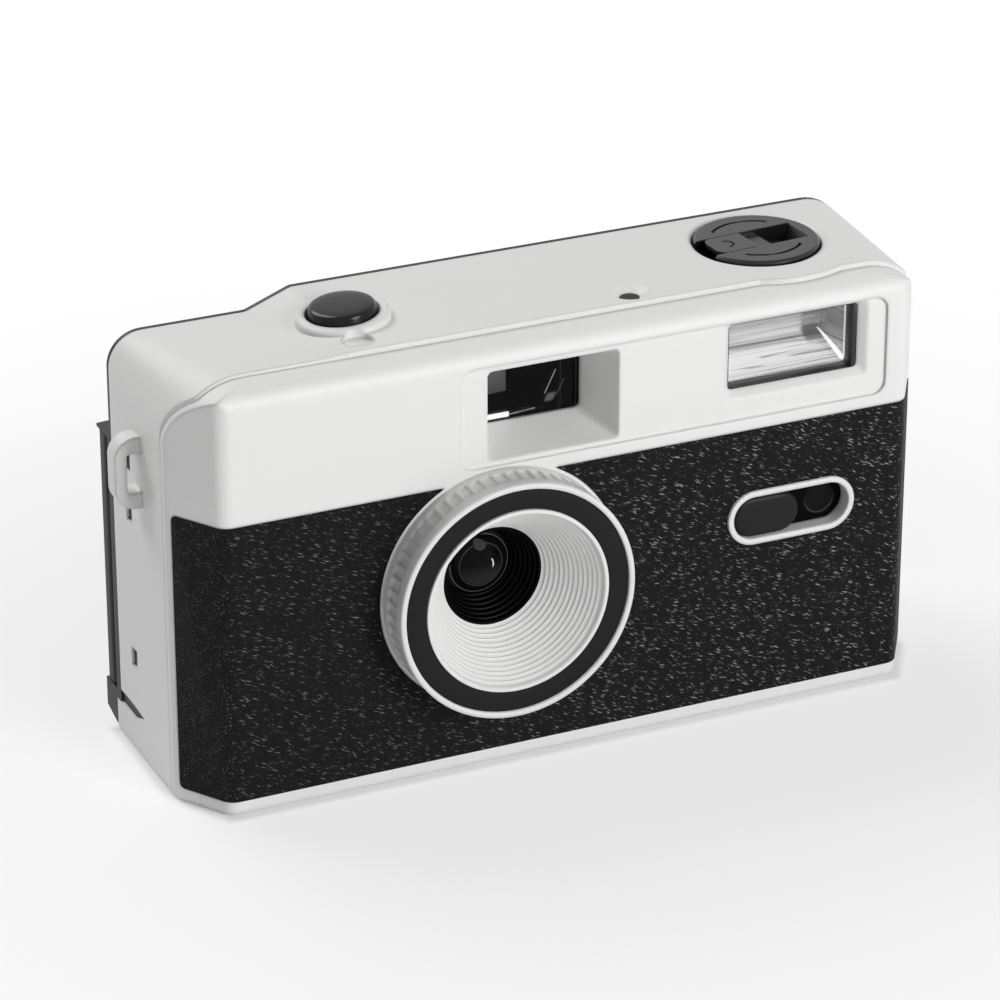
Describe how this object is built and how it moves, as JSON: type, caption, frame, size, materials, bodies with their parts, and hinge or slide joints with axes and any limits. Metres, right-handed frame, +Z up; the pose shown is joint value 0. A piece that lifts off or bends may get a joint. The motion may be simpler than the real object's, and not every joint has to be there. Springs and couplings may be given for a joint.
{
  "type": "reusable film camera",
  "caption": "Compact reusable 35 mm film camera with fixed-focus lens, built-in flash, flash slide switch, rewind dial and hinged film door.",
  "frame": {"origin": "middle of the flat base, half way along the body; front face at y = -16 mm", "axes": "+X towards the rewind dial's end, -Y the way the lens looks, +Z up"},
  "size_m": [0.1196, 0.042, 0.0674],
  "materials": {
    "white_plastic": "satin moulded ABS, fine spark texture",
    "black_plastic": "satin black moulded ABS",
    "chassis_plastic": "dull black moulded plastic",
    "dial_black": "satin charcoal plastic",
    "gloss_black": "glossy black",
    "leather_sheet": "embossed pebble-grain leatherette",
    "ring_black": "flat black print-free ring",
    "steel": "bright spring steel",
    "black_metal": "matt black paint",
    "lens_glass": "coated clear lens",
    "finder_glass": "smoke-tinted clear plastic",
    "clear_plastic": "clear polished",
    "tube_glass": "clear glass tube",
    "reflector": "bright metallised",
    "board": "solder-masked board",
    "capacitor_sleeve": "shrink sleeve",
    "counter_white": "white with plain printed numbers",
    "lamp": "translucent red lens"
  },
  "bodies": {
    "camera": {"front_cover": "white_plastic", "leather_sheet": "leather_sheet", "middle_case": "white_plastic", "rear_cover": "black_plastic", "hinge_pin": "steel", "film_chassis": "chassis_plastic", "light_tunnel": "chassis_plastic", "cassette_well": "chassis_plastic", "take_up_well": "chassis_plastic", "battery_holder": "chassis_plastic", "chassis_screws": "steel", "lens_ring": "white_plastic", "ring_trim": "ring_black", "lens_cone": "white_plastic", "inner_cone": "chassis_plastic", "front_lens": "lens_glass", "aperture_plate": "black_metal", "shutter_housing": "chassis_plastic", "rear_lens": "lens_glass", "finder_window": "finder_glass", "finder_tunnel": "chassis_plastic", "eyepiece": "clear_plastic", "flash_gasket": "black_plastic", "flash_window": "clear_plastic", "flash_reflector": "reflector", "flash_tube": "tube_glass", "flash_board": "board", "flash_capacitor": "capacitor_sleeve", "switch_plate": "black_plastic", "button_spring": "steel", "counter_window": "clear_plastic", "ready_lamp": "lamp", "battery_contacts": "steel"},
    "film_door": {"film_door": "black_plastic", "pressure_spring": "steel"},
    "pressure_plate": {"pressure_plate": "black_metal"},
    "door_latch": {"door_latch": "black_plastic"},
    "shutter_blade": {"shutter_blade": "steel"},
    "flash_switch": {"flash_switch": "gloss_black"},
    "shutter_button": {"shutter_button": "gloss_black"},
    "rewind_collar": {"rewind_collar": "chassis_plastic"},
    "rewind_knob": {"rewind_knob": "dial_black", "rewind_fork": "chassis_plastic", "crank_pin": "steel"},
    "rewind_crank": {"rewind_crank": "dial_black"},
    "sprocket": {"sprocket": "chassis_plastic"},
    "counter_disc": {"counter_disc": "counter_white"},
    "take_up_spool": {"take_up_spool": "chassis_plastic"},
    "advance_wheel": {"advance_wheel": "black_plastic"},
    "battery_door": {"battery_door": "white_plastic"},
    "rewind_release": {"rewind_release": "black_plastic"}
  },
  "joints": [
    {"name": "film_door_hinge", "type": "hinge", "parent": "camera", "child": "film_door", "pos_m": [-0.0552, 0.01767, 0.028], "axis": [0, 0, 1], "range_deg": [0, 115]},
    {"name": "pressure_plate_give", "type": "slide", "parent": "film_door", "child": "pressure_plate", "axis": [0, 1, 0], "range_m": [0, 0.0004], "stiffness_N_per_m": 300, "springref_m": -0.0006},
    {"name": "door_latch_slide", "type": "slide", "parent": "camera", "child": "door_latch", "axis": [0, 0, -1], "range_m": [0, 0.003], "stiffness_N_per_m": 60, "springref_m": -0.001},
    {"name": "shutter_blade_swing", "type": "hinge", "parent": "camera", "child": "shutter_blade", "pos_m": [-0.0038, -0.0068, 0.0311], "axis": [0, -1, 0], "range_deg": [0, 38], "stiffness_Nm_per_rad": 0.0001, "springref_deg": -17.19},
    {"name": "flash_switch_slide", "type": "slide", "parent": "camera", "child": "flash_switch", "axis": [1, 0, 0], "range_m": [0, 0.0076]},
    {"name": "shutter_button_press", "type": "slide", "parent": "camera", "child": "shutter_button", "axis": [0.0872, 0, -0.9962], "range_m": [0, 0.0014], "stiffness_N_per_m": 500, "springref_m": -0.001, "deforming": ["button_spring"]},
    {"name": "rewind_lift", "type": "slide", "parent": "camera", "child": "rewind_collar", "axis": [0, 0, 1], "range_m": [0, 0.006]},
    {"name": "rewind_turn", "type": "hinge", "parent": "rewind_collar", "child": "rewind_knob", "pos_m": [0.0372, 0.0021, 0.06], "axis": [0, 0, 1], "continuous": true},
    {"name": "rewind_tab_fold", "type": "hinge", "parent": "rewind_knob", "child": "rewind_crank", "pos_m": [0.0356, 0.00199, 0.0646], "axis": [-0.0698, 0.9976, 0], "range_deg": [0, 100]},
    {"name": "advance_turn", "type": "hinge", "parent": "camera", "child": "advance_wheel", "pos_m": [-0.0415, 0.0048, 0.056], "axis": [0, 0, 1], "continuous": true},
    {"name": "take_up_turn", "type": "hinge", "parent": "camera", "child": "take_up_spool", "pos_m": [-0.0415, 0.0048, 0.028], "axis": [0, 0, 1], "continuous": true},
    {"name": "sprocket_turn", "type": "hinge", "parent": "camera", "child": "sprocket", "pos_m": [0.0105, 0.00595, 0.044], "axis": [0, 0, 1], "continuous": true},
    {"name": "counter_turn", "type": "hinge", "parent": "camera", "child": "counter_disc", "pos_m": [0.008, -0.0026, 0.0616], "axis": [0, 0, 1], "continuous": true},
    {"name": "battery_door_hinge", "type": "hinge", "parent": "camera", "child": "battery_door", "pos_m": [0.0167, -0.00067, 0.0009], "axis": [1, 0, 0], "range_deg": [0, 90]},
    {"name": "rewind_release_press", "type": "slide", "parent": "camera", "child": "rewind_release", "axis": [0, 0, 1], "range_m": [0, 0.0012], "stiffness_N_per_m": 200, "springref_m": -0.001}
  ],
  "couplings": [
    {"joint": "take_up_turn", "follows": "advance_turn", "ratio": 1},
    {"joint": "sprocket_turn", "follows": "advance_turn", "ratio": 0.90941},
    {"joint": "counter_turn", "follows": "advance_turn", "ratio": -0.022735}
  ]
}
